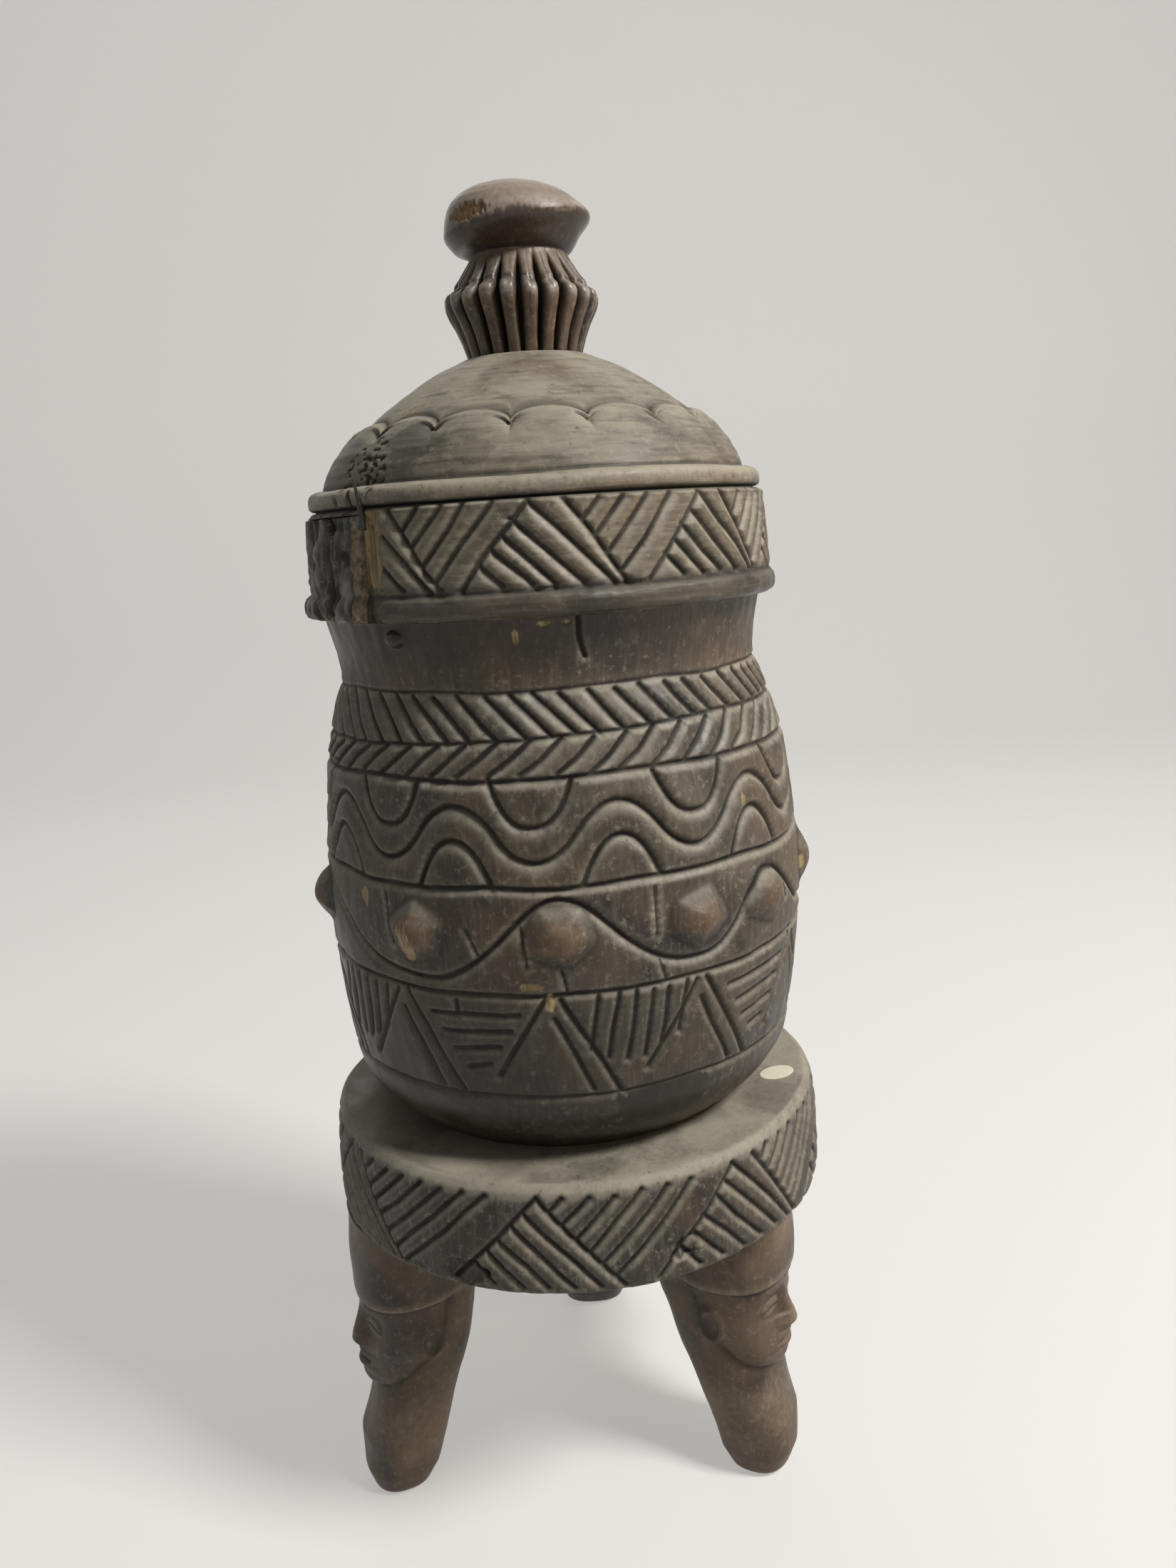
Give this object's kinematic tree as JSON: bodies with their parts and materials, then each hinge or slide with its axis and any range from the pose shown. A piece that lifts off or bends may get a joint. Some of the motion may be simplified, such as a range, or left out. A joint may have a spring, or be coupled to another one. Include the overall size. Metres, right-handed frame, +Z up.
{
  "type": "lidded ritual pot",
  "caption": "Carved wooden ritual pot on legs carved as heads, with a banded belly and a domed lid that lifts off by a ribbed, mushroom-shaped knob.",
  "frame": {"origin": "on the pot's axis at floor level, which is the centre of the bottom of its bounding box", "axes": "+Z up along the pot's axis, -Y towards the front of the picture, +X to its right"},
  "size_m": [0.2362, 0.2363, 0.597],
  "materials": {
    "dark_wood": "hand carved, smoke-darkened and handled to a dull sheen",
    "grey_wood": "hand carved, dry and dusty grey on the worn faces",
    "brown_wood": "hand carved, polished by handling",
    "charred_wood": "broken, charred and rough",
    "old_glue": "rough repair filler"
  },
  "bodies": {
    "vessel": {"leg_front_left": "brown_wood", "leg_front_right": "brown_wood", "leg_back": "brown_wood", "stand_plate": "grey_wood", "bowl": "dark_wood"},
    "cover": {"lid": "grey_wood", "rim_fragment": "charred_wood", "rim_glue": "old_glue", "knob": "brown_wood"}
  },
  "joints": [
    {"name": "lid_lift", "type": "slide", "parent": "vessel", "child": "cover", "axis": [0, 0, 1], "range_m": [0, 0.15]}
  ]
}
